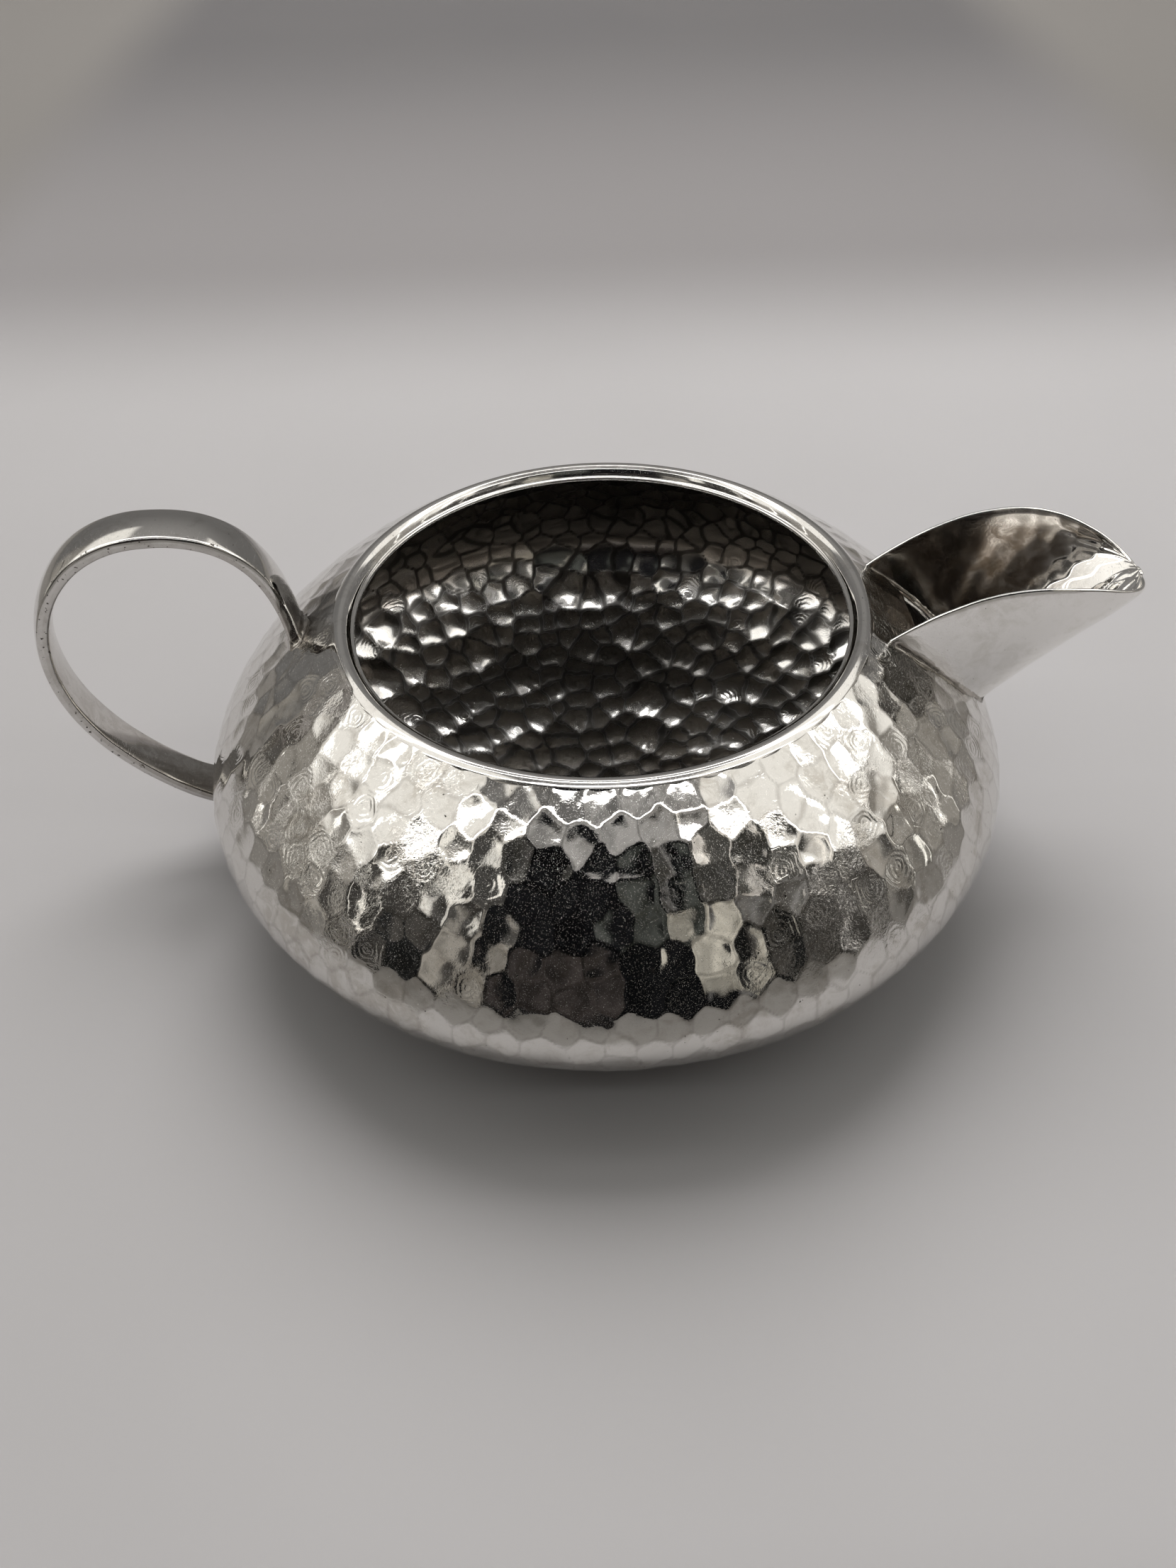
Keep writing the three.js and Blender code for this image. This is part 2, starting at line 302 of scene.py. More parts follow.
def build_body():
    outer = np.concatenate([[(0, 0)], body_curve(0, MOUTH_RADIUS)])
    outer = soften(resample(outer, step=0.1), 0.9)
    outer[:, 1] = np.maximum(outer[:, 1], 0)
    outer[0] = (0, 0)
    inner = np.concatenate([body_curve(WALL, MOUTH_RADIUS)[::-1], [(0, WALL)]])
    inner = soften(resample(inner, step=0.1), 1.5)
    inner[-1, 0] = 0
    points, marks, rings = [], {"tone": [], "reach": [], "edge": [], "inside": []}, []
    for side, line in (("outer", outer), ("inner", inner)):
        length = arc_length(line)
        tangent = unit(np.gradient(line, axis=0))
        normal = np.stack([tangent[:, 1], -tangent[:, 0]], 1)
        radius_at = lambda s: float(np.interp(s, length, line[:, 0]))
        if side == "outer":
            flat_end = float(np.interp(BASE_RADIUS, line[:len(line) // 2, 0], length[:len(line) // 2]))
            turn = np.unwrap(np.arctan2(tangent[:, 1], tangent[:, 0]))
            bend = soften(np.abs(np.gradient(turn, length))[:, None] * np.ones((1, 2)), 2.0)[:, 0]
            def bend_at(s):
                at = int(np.searchsorted(length, s))
                own = np.clip([normal[at, 0] / line[at, 0], bend[at]], 0.012, 0.045)
                return own[0] / 2 + OUTER_DISH[0], own[1] / 2 + OUTER_DISH[1], OUTER_SPREAD
            rows = mark_rows(radius_at, bend_at, flat_end + 1, length[-1] - 1.2, 5)
            stations = np.concatenate([np.arange(BASE_STEP, flat_end, BASE_STEP),
                                       np.arange(flat_end, length[-1], OUTER_STEP)])
        else:
            dome_at = lambda s: (INNER_DOME, INNER_DOME, INNER_SPREAD)
            rows = mark_rows(radius_at, dome_at, 1.6, length[-1] - 1.5, 9)
            stations = np.arange(0, length[-1] - 0.8, INNER_STEP)
        for s in stations:
            radius, height = (float(np.interp(s, length, line[:, i])) for i in (0, 1))
            out = [float(np.interp(s, length, normal[:, i])) for i in (0, 1)]
            count = columns_at(radius)
            angle = np.arange(count) * TAU / count
            near_mouth = length[-1] - s if side == "outer" else s
            if side == "outer" and s <= flat_end:
                push, tone, reach, edge = (np.full(count, value) for value in (0.0, 0.5, 2.0, 0.1))
            elif side == "outer":
                # Close to the rim only the hollows of the marks cut into the plain surface, in scallops
                lift, tone, reach, edge = struck(rows, s, radius, angle, OUTER_TILT, OUTER_UNEVEN)
                plain = 0.004 + 0.14 * max(0, near_mouth - 2.1)
                push = np.minimum(lift - OUTER_BITE, plain) * min(1, (s - flat_end) / 3)
                edge = np.where(lift - OUTER_BITE < plain, edge, 0.1)
            else:
                lean = INNER_LEAN * min(1, max(0, (BELLY_HEIGHT - height) / 6)) * min(1, radius / 25)
                lift, tone, reach, edge = struck(rows, s, radius, angle, INNER_TILT, INNER_UNEVEN, lean)
                plain = 0.05 - 0.12 * max(0, near_mouth - 2.2)
                smooth = 0.75 * min(1, max(0, (height - SMOOTH_SHADED_HEIGHT) / 2))
                push = np.maximum(INNER_SWELL - lift, plain) * (1 - smooth)
                edge = np.maximum(edge, 0.26 * (1 - min(1, near_mouth / 10)))
            # The whole bowl is a little out of round, except at its base and its rim
            sway = wobble(angle, 3, 0.05) * math.sin(math.pi * min(1, max(0, near_mouth - 2) / 30) / 2)
            push = push + (sway if side == "outer" else -sway) * (1 if s > 12 or side == "inner" else 0)
            ring_radius = radius + push * out[0]
            rings.append((len(points), count))
            points += list(zip(ring_radius * np.cos(angle), ring_radius * np.sin(angle),
                               np.maximum(height + push * out[1], 0)))
            marks["tone"] += tone.tolist()
            marks["reach"] += reach.tolist()
            marks["edge"] += edge.tolist()
            marks["inside"] += [float(side == "inner")] * count
    faces = []
    for (a, a_count), (b, b_count) in zip(rings, rings[1:]):
        faces += join_rings(a, a_count, b, b_count)
    for (start, count), height, turn in ((rings[0], 0.0, 1), (rings[-1], inner[-1, 1], -1)):
        centre = len(points)
        points.append((0, 0, height))
        for key, value in (("tone", 0.5), ("reach", 1.0), ("edge", 0.05), ("inside", float(turn < 0))):
            marks[key].append(value)
        for i in range(count):
            pair = (start + i, start + (i + 1) % count)
            faces.append((centre, *pair[::-turn]))
    return make_object("jug_body", points, faces, {"mark_" + key: value for key, value in marks.items()})


HOLE_BLOCK = (38.0, 60.0)


def hole_outline():
    """The pour hole in the YZ plane: a flat top, straight sides and a round bottom."""
    half, top, spring, floor = 8.2, 38.6, 33.5, 25.5
    t = np.linspace(0, 1, 24)
    across = half * (-(1 - t) ** 3 - 3 * t * (1 - t) ** 2 + 3 * t ** 2 * (1 - t) + t ** 3)
    height = spring * ((1 - t) ** 3 + t ** 3) + floor * 3 * t * (1 - t)
    return [(-half, top)] + list(zip(across, height)) + [(half, top)]


def cut_pour_hole(body):
    """Cuts the hole through the wall behind the spout with a straight-sided block."""
    outline = hole_outline()
    count = len(outline)
    points = [(x, y, z) for x in HOLE_BLOCK for y, z in outline]
    faces = [tuple(range(count)), tuple(range(2 * count - 1, count - 1, -1))]
    faces += [(i, (i + 1) % count, count + (i + 1) % count, count + i) for i in range(count)]
    cutter = make_object("cutter", points, faces)
    cut = body.modifiers.new("pour_hole", "BOOLEAN")
    cut.operation = "DIFFERENCE"
    cut.solver = "EXACT"
    cut.object = cutter
    bpy.context.view_layer.update()
    evaluated = body.evaluated_get(bpy.context.evaluated_depsgraph_get())
    body.data = bpy.data.meshes.new_from_object(evaluated)
    body.modifiers.clear()
    bpy.data.objects.remove(cutter)


# ---- mouth rim ----

def build_rim():
    """A ring turned from one section: a shoulder flush with the body, a rounded top and an inner bead."""
    curve = body_curve(0, 34.5)
    upper = curve[len(curve) // 2:]
    surface = lambda radius: float(np.interp(-radius, -upper[:, 0], upper[:, 1]))
    section = [(36.3, surface(36.3) - 0.12), (35.95, surface(35.95) + 0.02), (35.5, surface(35.5) + 0.05),
               (35.0, 43.97), (34.5, 43.9), (34.0, 43.55), (33.65, 43.05), (33.5, 42.72)]
    bead = (33.3, 42.32, 0.3)
    for turn in np.radians([75, 110, 145, 180, 215, 250]):
        section.append((bead[0] + bead[2] * math.cos(turn), bead[1] + bead[2] * math.sin(turn)))
    section += [(33.6, 41.75), (34.5, 41.75), (35.6, 42.0), (36.3, 42.2)]
    section = np.array(section + section[:1])
    section = soften(resample(section, step=0.07)[:-1], 0.11, closed=True)
    columns = 480
    angle = np.arange(columns) * TAU / columns
    points = []
    for j, (radius, height) in enumerate(section):
        sway = wobble(angle, 21, 0.02) + wobble(angle, 40 + j // 12, 0.004, (21, 34, 55))
        points += list(zip((radius + sway) * np.cos(angle), (radius + sway) * np.sin(angle),
                           height + wobble(angle, 22, 0.015)))
    return make_object("jug_rim", points, tube_faces(len(section), columns, closed_rows=True))


# ---- spout ----

def spout_edge(x):
    fall = np.where(x < SPOUT["crest"], SPOUT["root_fall"], SPOUT["nose_fall"])
    return SPOUT["crest_height"] - fall * (x - SPOUT["crest"]) ** 2


def spout_half(x):
    share = np.clip((x - SPOUT["crest"]) / (SPOUT["tip"] - SPOUT["crest"]), 0, 1)
    nose = SPOUT["crest_half"] * (1 - share ** SPOUT["nose_power"]) ** (1 / SPOUT["nose_power"])
    rise = (x - SPOUT["root"]) / (SPOUT["crest"] - SPOUT["root"])
    root = SPOUT["root_half"] + rise * (SPOUT["crest_half"] - SPOUT["root_half"])
    return np.where(x < SPOUT["crest"], root, nose)


def spout_point(x, angle):
    """A point on the trough's outside: angle runs from the near edge (0) over the keel to the far edge."""
    back = SPOUT["tip"] - x
    keel = float(spout_edge(np.array(SPOUT["tip"])))
    keel = keel - SPOUT["keel_slope"] * back - SPOUT["keel_bend"] * back ** 2
    edge = spout_edge(x)
    bulge = 2 / SPOUT["section_power"]
    across = -np.sign(np.cos(angle)) * np.abs(np.cos(angle)) ** bulge
    down = np.clip(np.sin(angle), 0, 1) ** bulge
    return np.stack([x, spout_half(x) * across, edge - np.maximum(edge - keel, 0.02) * down], -1)


def where_at(distance, point_of, low, high):
    """For each line point_of(t), the t from low to high where it stands that far off the body."""
    low, high = np.array(low, float), np.array(high, float)
    for _ in range(40):
        middle = (low + high) / 2
        outside = body_distance(point_of(middle)) > distance
        high = np.where(outside, middle, high)
        low = np.where(outside, low, middle)
    return (low + high) / 2


def grid_normals(grid, outward):
    first, second = np.gradient(grid, axis=0), np.gradient(grid, axis=1)
    normal = unit(np.cross(first, second))
    normal[:, -1] = normal[:, -2]
    flip = np.sign(np.einsum("ijk,ijk->ij", normal, outward))
    return normal * np.where(flip == 0, 1, flip)[..., None]


def dents(u, v, seed, pitch):
    """Soft hammered hollows over a flat (u, v) field, in units of their pitch."""
    local = np.random.default_rng(seed)
    count_u, count_v = int(u.max() / pitch) + 3, int(v.max() / pitch) + 3
    heights = []
    for i in range(-1, count_u):
        for j in range(-1, count_v):
            cu = (i + 0.5 * (j % 2) + local.uniform(-0.25, 0.25)) * pitch
            cv = (j + local.uniform(-0.25, 0.25)) * pitch
            tilt = local.normal(0, 0.1, 2)
            gap = ((u - cu) ** 2 + (v - cv) ** 2) / pitch ** 2
            slant = tilt[0] * (u - cu) / pitch + tilt[1] * (v - cv) / pitch
            heights.append(gap * local.uniform(0.7, 1.3) + slant)
    heights = np.array(heights)
    sharp = 9.0
    return -np.log(np.exp(-sharp * heights).sum(0)) / sharp


SPOUT_ACROSS = 84
SPOUT_ALONG = 96
SPOUT_ROOT_RANGE = (36.5, 66.0)  # where along X the trough can meet the body
EDGE_STEPS = 5


def spout_meets_body(distance, angle):
    """For each of the trough's lines, the x where it stands that far off the body."""
    low, high = (np.full(len(angle), limit) for limit in SPOUT_ROOT_RANGE)
    return where_at(distance, lambda x: spout_point(x, angle), low, high)


def spout_grid():
    """Points of the trough's outside, from inside the body's wall to the nose."""
    angle = np.linspace(0, math.pi, SPOUT_ACROSS + 1)
    tip = SPOUT["tip"] - 0.02
    start = spout_meets_body(-0.45, angle)
    share = np.linspace(0, 1, SPOUT_ALONG + 1)
    share = 0.3 * share + 0.7 * np.sin(share * math.pi / 2)
    x = start[:, None] + (tip - start[:, None]) * share
    return angle, x, spout_point(x, angle[:, None] + 0 * x)


def build_spout():
    angle, x, grid = spout_grid()
    middle = np.stack([x, 0 * x, spout_edge(x)], -1)
    normal = grid_normals(grid, grid - middle + np.array([0.4, 0, -0.4]))
    u = arc_length(grid[:, SPOUT_ALONG // 2])[:, None] + 0 * x
    v = x - x.min()
    outside = grid + normal * (0.2 * (dents(u, v, 31, 5.2) - 0.25))[..., None]
    crumple = 0.14 + 0.26 * np.clip((x - 59) / 7, 0, 1) * np.clip((spout_edge(x) - grid[..., 2]) / 1.5, 0, 1)
    inside = grid - normal * (SPOUT["sheet"] - crumple * (dents(u, v, 32, 2.7) - 0.25))[..., None]
    rows, columns = angle.size, SPOUT_ALONG + 1
    points = list(outside.reshape(-1, 3)) + list(inside.reshape(-1, 3))
    layer = rows * columns
    faces = []
    for i in range(rows - 1):
        for j in range(columns - 1):
            a, d = i * columns + j, (i + 1) * columns + j
            b, c = a + 1, d + 1
            faces += [(a, b, c, d), (layer + d, layer + c, layer + b, layer + a)]
        a, b = i * columns, (i + 1) * columns
        faces.append((a, b, layer + b, layer + a))
    # The free edge: near side, nose, far side, rounded from the outside to the inside
    border = [(0, j) for j in range(columns)] + [(i, columns - 1) for i in range(1, rows)]
    border += [(rows - 1, j) for j in range(columns - 2, -1, -1)]
    first = np.array([outside[i, j] for i, j in border])
    last = np.array([inside[i, j] for i, j in border])
    along = unit(np.gradient(first + last, axis=0))
    across = unit(first - last)
    bulge = unit(np.cross(along, across))
    if bulge[len(border) // 8, 2] < 0:
        bulge = -bulge
    wear = 1 + 0.12 * np.sin(np.arange(len(border)) * 0.31) * np.sin(np.arange(len(border)) * 0.083)
    chains = [[i * columns + j for i, j in border]]
    for step in range(1, EDGE_STEPS):
        turn = math.pi * step / EDGE_STEPS
        half = np.linalg.norm(first - last, axis=1)[:, None] / 2
        ring = (first + last) / 2 + half * (across * math.cos(turn) + bulge * wear[:, None] * math.sin(turn))
        chains.append(list(range(len(points), len(points) + len(border))))
        points += list(ring)
    chains.append([layer + i * columns + j for i, j in border])
    for lower, upper in zip(chains, chains[1:]):
        for k in range(len(border) - 1):
            faces.append((lower[k + 1], lower[k], upper[k], upper[k + 1]))
    faces.append(tuple(chain[0] for chain in chains))
    faces.append(tuple(chain[-1] for chain in reversed(chains)))
    # Tarnish lies inside the trough, short of its edge and its nose
    depth = np.clip((spout_edge(x) - grid[..., 2]) / 3, 0, 1) * np.clip((SPOUT["tip"] - 3 - x) / 8, 0, 1)
    stain = np.concatenate([np.zeros(layer), depth.ravel(), np.zeros(len(points) - 2 * layer)])
    return make_object("jug_spout", points, faces, {"stained": stain})


# ---- handle ----

def handle_path(count):
    legs = []
    t = np.linspace(0, 1, 200)[:, None]
    for p0, p1, p2, p3 in np.array(HANDLE_LEGS, float):
        legs.append((1 - t) ** 3 * p0 + 3 * t * (1 - t) ** 2 * p1 + 3 * t * t * (1 - t) * p2 + t ** 3 * p3)
    line = resample(np.concatenate([legs[0]] + [leg[1:] for leg in legs[1:]]), count=count)
    return np.stack([line[:, 0], 0 * line[:, 0], line[:, 1]], 1)


PATH_COUNT = 1201
PATH = handle_path(PATH_COUNT)
PATH_TANGENT = unit(np.gradient(PATH, axis=0))


def strap_outline():
    """The strap's section: across its width and out from the loop, with rounded corners."""
    half, edge = STRAP["half_width"], STRAP["half_edge"]
    across = np.linspace(-1, 1, 41)
    outer = np.stack([across * half, edge + STRAP["outer_crown"] * (1 - across ** 2)], 1)
    inner = np.stack([-across * half, -edge - STRAP["inner_crown"] * (1 - across ** 2)], 1)
    loop = np.concatenate([outer, inner, outer[:1]])
    return soften(resample(loop, step=0.13)[:-1], 0.28, closed=True)


def strap_point(share, section):
    """Points of the strap at shares of its path, for matching section points."""
    share = np.clip(share, 0, 1)
    at = share * (PATH_COUNT - 1)
    index = np.minimum(at.astype(int), PATH_COUNT - 2)
    part = (at - index)[..., None]
    centre = PATH[index] * (1 - part) + PATH[index + 1] * part
    tangent = unit(PATH_TANGENT[index] * (1 - part) + PATH_TANGENT[index + 1] * part)
    twist = HANDLE_TWIST[0] + (HANDLE_TWIST[1] - HANDLE_TWIST[0]) * share
    across = np.stack([-np.sin(twist), np.cos(twist), 0 * twist], -1)
    across = unit(across - np.sum(across * tangent, -1, keepdims=True) * tangent)
    outward = np.cross(across, tangent)
    foot = np.maximum(0, 1 - np.minimum(share, 1 - share) / STRAP["foot"]) ** 2
    width = section[..., 0] * (1 + STRAP["flare"] * foot)
    point = centre + across * width[..., None] + outward * section[..., 1][..., None]
    x, y = point[..., 0] - HANDLE_PIVOT[0], point[..., 1]
    cos, sin = math.cos(HANDLE_TURN), math.sin(HANDLE_TURN)
    x, y = x * cos - y * sin, x * sin + y * cos
    return np.stack([x + HANDLE_PIVOT[0], y + HANDLE_PIVOT[1], point[..., 2]], -1)


STRAP_ROWS = 330
FOOT_RANGE = 0.3  # the share of the path in which a foot meets the body


def strap_reach(section, depth, upper):
    """The share of the path where each line along the strap is that far off the body, at one foot."""
    low, high = np.zeros(len(section)), np.full(len(section), FOOT_RANGE)
    if upper:
        return where_at(depth, lambda t: strap_point(t, section), low, high)
    return 1 - where_at(depth, lambda t: strap_point(1 - t, section), low, high)


def build_handle():
    section = strap_outline()
    first, last = strap_reach(section, -0.5, True), strap_reach(section, -0.5, False)
    rows = np.linspace(0, 1, STRAP_ROWS)[:, None]
    share = first + (last - first) * rows
    uneven = 1 + 0.012 * np.sin(rows * 37 + 1) * np.sin(rows * 11) + 0.006 * np.sin(rows * 91)
    shape = np.broadcast_to(section, (STRAP_ROWS, *section.shape)) * np.stack([uneven, 2 - uneven], -1)
    points = strap_point(share, shape).reshape(-1, 3)
    faces = tube_faces(STRAP_ROWS, len(section))
    faces.append(tuple(range(len(section))))
    faces.append(tuple(range(len(points) - 1, len(points) - len(section) - 1, -1)))
    side = np.broadcast_to(np.abs(section[:, 0]) / STRAP["half_width"], (STRAP_ROWS, len(section)))
    # Tarnish gathers inside the loop and towards the feet
    stain = np.interp(share, [0, 0.35, 0.6, 0.95], [0.6, 0.15, 0.25, 0.8])
    stain = np.where(section[:, 1] < 0, 1.0, 0.12) * stain
    return make_object("jug_handle", points, faces, {"strap_side": side.ravel(), "stained": stain.ravel()})


# ---- solder ----

FILLET_STEPS = 7


def fillet(foot, up, out, closed, seed, sink=0.3):
    """A concave bead between a wall and the body, from up, on the wall, to out, on the body."""
    turn = np.linspace(0, math.pi / 2, FILLET_STEPS)
    rings = [foot + (up - foot) * (1 - math.sin(t)) + (out - foot) * (1 - math.cos(t)) for t in turn]
    rings = [up + 0.25 * (up - foot), *rings, out + 0.1 * (out - foot)]
    local = np.random.default_rng(seed)
    grain = local.normal(0, 0.035, (len(rings), len(foot)))
    lean = unit((up - foot) + (out - foot))
    for k in range(2, len(rings) - 2):
        rings[k] = rings[k] + lean * grain[k][:, None]
    middle = 0.5 * (up + out) - foot
    buried = foot - sink * unit(middle) - 0.25 * (up - foot) - 0.15 * (out - foot)
    points = np.stack([*rings, buried], 1)
    count = points.shape[1]
    faces = tube_faces(len(foot), count, closed_rows=closed)
    if not closed:
        faces.append(tuple(range(count)))
        faces.append(tuple(range(len(foot) * count - 1, (len(foot) - 1) * count - 1, -1)))
    return points.reshape(-1, 3), faces


def spread_on_body(foot, away, size):
    """Points on the body, that far from a foot line in the direction away from its wall."""
    normal = body_normal(foot)
    flat = unit(away - np.sum(away * normal, -1, keepdims=True) * normal)
    return onto_body(foot + flat * size, -0.05)


def uneven_size(count, size, seed):
    t = np.arange(count) / count * TAU
    return (size * (1 + 0.5 * wobble(t, seed, 0.25, (3, 7, 12, 19))))[:, None]


def foot_solder(name, upper, size, seed):
    section = strap_outline()[::2]
    near, far = strap_reach(section, 0.0, upper), strap_reach(section, size, upper)
    foot, up = strap_point(near, section), strap_point(far, section)
    centre = strap_point(near, 0 * section)
    away = foot - centre
    reach = uneven_size(len(foot), size, seed)
    out = spread_on_body(foot, away, reach)
    up = foot + (up - foot) * reach / size - unit(away) * 0.03
    return make_object(name, *fillet(foot, up, out, True, seed))


def spout_solder():
    angle = np.linspace(0, math.pi, 170)
    line = lambda x: spout_point(x, angle)
    points, faces = [], []
    for side, size, seed in ((1, 0.7, 61), (-1, 0.45, 62)):
        shift = 0.0 if side > 0 else SPOUT["sheet"]
        foot_x, up_x = spout_meets_body(0.0, angle), spout_meets_body(size, angle)
        middle = np.stack([foot_x, 0 * foot_x, spout_edge(foot_x)], -1)
        slope = unit(np.gradient(line(foot_x), axis=0))
        lead = unit(line(up_x) - line(foot_x))
        wall = unit(np.cross(slope, lead))
        wall *= np.sign(np.sum(wall * (line(foot_x) - middle + np.array([0.2, 0, -0.4])), -1, keepdims=True))
        foot = line(foot_x) - wall * shift
        up = line(up_x) - wall * (shift + 0.04 * side)
        reach = uneven_size(len(angle), size, seed)
        up = foot + (up - foot) * reach / size
        out = spread_on_body(foot, wall * side, reach)
        more, fresh = fillet(foot, up, out, False, seed, sink=0.15)
        faces += [tuple(i + len(points) for i in f) for f in fresh]
        points += list(more)
    return make_object("spout_solder", points, faces)


# ---- materials ----

class Nodes:
    """Short calls that add nodes to one material or world."""

    def __init__(self, tree):
        self.tree = tree
        tree.nodes.clear()

    def add(self, kind, inputs=(), **settings):
        node = self.tree.nodes.new(kind)
        for key, value in settings.items():
            setattr(node, key, value)
        for key, value in dict(inputs).items():
            self.put(value, node.inputs[key])
        return node

    def put(self, value, socket):
        if isinstance(value, bpy.types.NodeSocket):
            self.tree.links.new(value, socket)
        else:
            socket.default_value = value

    def math(self, operation, first, second=0.0, third=0.0):
        return self.add("ShaderNodeMath", {0: first, 1: second, 2: third}, operation=operation).outputs[0]

    def ramp(self, value, low, high, start=0.0, end=1.0):
        """A smooth step from start at low to end at high."""
        limits = {"Value": value, "From Min": low, "From Max": high, "To Min": start, "To Max": end}
        node = self.add("ShaderNodeMapRange", limits, interpolation_type="SMOOTHSTEP")
        return node.outputs["Result"]

    def mix(self, share, first, second):
        node = self.add("ShaderNodeMix", data_type="RGBA")
        for value, socket in ((share, node.inputs[0]), (first, node.inputs[6]), (second, node.inputs[7])):
            self.put(value, socket)
        return node.outputs[2]

    def noise(self, vector, size, detail=2.0, rough=0.5, warp=0.0):
        """Noise whose features are about that many millimetres across."""
        node = self.add("ShaderNodeTexNoise", {"Vector": vector, "Scale": 1 / (size * MM), "Detail": detail,
                                               "Roughness": rough, "Distortion": warp})
        return node.outputs["Fac"]

    def stretched(self, vector, turn, long, wide):
        """Coordinates for streaks that are that long and wide, turned round all three axes."""
        node = self.add("ShaderNodeMapping", {"Vector": vector, "Rotation": turn,
                                              "Scale": (1 / (wide * MM), 1 / (long * MM), 1 / (wide * MM))})
        return node.outputs["Vector"]

    def attribute(self, name):
        return self.add("ShaderNodeAttribute", attribute_name=name).outputs["Fac"]

    def separate(self, vector):
        return self.add("ShaderNodeSeparateXYZ", {0: vector}).outputs


def scratches(nodes, place, layers, spread):
    """Fine crossing scratches: 0 on clear metal, towards 1 in a scratch."""
    total = 0.0
    for turn, long, wide, cut in layers:
        streak = nodes.add("ShaderNodeTexNoise", {
            "Vector": nodes.stretched(place, turn, long, wide), "Scale": 1.0,
            "Detail": 1.0, "Roughness": 0.4, "Distortion": spread})
        total = nodes.math("MAXIMUM", nodes.ramp(streak.outputs["Fac"], cut + 0.025, cut + 0.09), total)
    return total


SCRATCH_LAYERS = [
    ((0.3, 0.2, 0.1), 3.2, 0.11, 0.68), ((1.2, 0.5, 0.9), 4.5, 0.10, 0.69),
    ((0.4, 1.4, 2.1), 2.6, 0.12, 0.68), ((2.2, 0.9, 1.7), 5.5, 0.09, 0.70),
]


BUMP_UNIT = 0.02 * MM  # what a bump of 1 stands for
SCRATCH_DEPTH, PIT_DEPTH = 0.28, 0.8
# Near the middle of the front and back the marks are clean, and further out they are rippled
CLEAN_HALF, RIPPLED_HALF = 8 * MM, 26 * MM
# The bowl's inside: a bright tone painted as light on its lower part, and a dark tone painted as shade on its
# wall near the mouth
PAINTED_LIT_BOWL, PAINTED_SHADED_WALL = (0.95, 0.94, 0.92, 1), (0.36, 0.33, 0.3, 1)
# Painted shade in the grooves between the domes inside and along the ridges outside
PAINTED_GROOVE_SHADE, PAINTED_RIDGE_SHADE = (0.06, 0.054, 0.047, 1), (0.2, 0.18, 0.16, 1)
PIT_DIRT, TARNISH_BROWN, FOOT_PATCH_BROWN = (0.05, 0.042, 0.035, 1), (0.26, 0.225, 0.19, 1), (0.1, 0.088, 0.075, 1)
FOOT_PATCH_PLACE = (-37.5 * MM, 3.5 * MM, 40.5 * MM)  # between the handle's upper foot and the rim


def ripples(nodes, place, cloud, ripple, crinkle, marks):
    """Height of the fine folds and rings that hammering leaves, stronger in some patches than others."""
    patch = nodes.ramp(nodes.noise(place, 6.0, 1.0), 0.42, 0.62)
    if marks:
        tone = nodes.attribute("mark_tone")
        apart = nodes.math("ABSOLUTE", nodes.separate(place)["X"])
        apart = nodes.ramp(apart, CLEAN_HALF, RIPPLED_HALF, 0.1, 1.0)
        calm_inside = nodes.math("MULTIPLY_ADD", nodes.attribute("mark_inside"), -0.8, 1.0)
        for share in (nodes.ramp(tone, 0.25, 0.8, 0.3, 1.0), apart, calm_inside):
            patch = nodes.math("MULTIPLY", share, patch)
    folds = nodes.noise(place, 0.55, 2.5, 0.55, 1.6)
    height = nodes.math("MULTIPLY", folds, nodes.math("MULTIPLY_ADD", patch, crinkle, crinkle * 0.04))
    if marks:
        reach = nodes.math("MULTIPLY", cloud, 7.0)
        reach = nodes.math("MULTIPLY_ADD", nodes.attribute("mark_reach"), 9.5, reach)
        wave = nodes.math("MULTIPLY", nodes.math("SINE", reach), nodes.math("MULTIPLY", apart, ripple))
        height = nodes.math("MULTIPLY_ADD", wave, nodes.ramp(tone, 0.5, 0.95), height)
    return height


def hammered(nodes, place, cloud, tone, shine):
    """Tones painted on the hammered sheet: inside, a bright tone as painted light on the lower bowl, a dark
    tone as painted shade on the wall near the mouth and painted shade in the grooves; outside, painted shade
    along the thin ridges; and a darker brown patch beside the handle's upper foot.
    """
    inside, edge = nodes.attribute("mark_inside"), nodes.attribute("mark_edge")
    outside = nodes.math("SUBTRACT", 1.0, inside)
    # Painted light and shade inside: the lower bowl takes a bright tone and the wall near the mouth a dark
    # one, in place of the outside's darker tone
    deep = nodes.ramp(nodes.separate(place)["Z"], SMOOTH_SHADED_HEIGHT * MM, (SMOOTH_SHADED_HEIGHT + 2) * MM, 1.0, 0.0)
    tone = nodes.mix(nodes.math("MULTIPLY", inside, 0.85), tone, nodes.mix(deep, PAINTED_SHADED_WALL, PAINTED_LIT_BOWL))
    shine = nodes.math("MULTIPLY_ADD", inside, 0.10, shine)
    # A darker brown patch on the body beside the handle's upper foot, its edge broken by noise
    foot_patch = nodes.add("ShaderNodeVectorMath", {0: place, 1: FOOT_PATCH_PLACE}, operation="DISTANCE")
    foot_patch = nodes.math("MULTIPLY_ADD", cloud, -9 * MM, foot_patch.outputs["Value"])
    foot_patch = nodes.math("MULTIPLY", nodes.ramp(foot_patch, -2 * MM, 2 * MM, 0.75, 0.0), outside)
    tone = nodes.mix(foot_patch, tone, FOOT_PATCH_BROWN)
    # Painted shade: the grooves between the domes inside are darkened, and made a little rougher
    groove = nodes.math("MULTIPLY", nodes.ramp(edge, 0.04, 0.24, 1.0, 0.0), inside)
    tone = nodes.mix(nodes.math("MULTIPLY", groove, 0.9), tone, PAINTED_GROOVE_SHADE)
    shine = nodes.math("MULTIPLY_ADD", groove, 0.2, shine)
    # Painted shade: the thin ridges between the marks outside are darkened
    ridge = nodes.math("MULTIPLY", nodes.ramp(edge, 0.0, 0.06, 0.3, 0.0), outside)
    return nodes.mix(ridge, tone, PAINTED_RIDGE_SHADE), shine


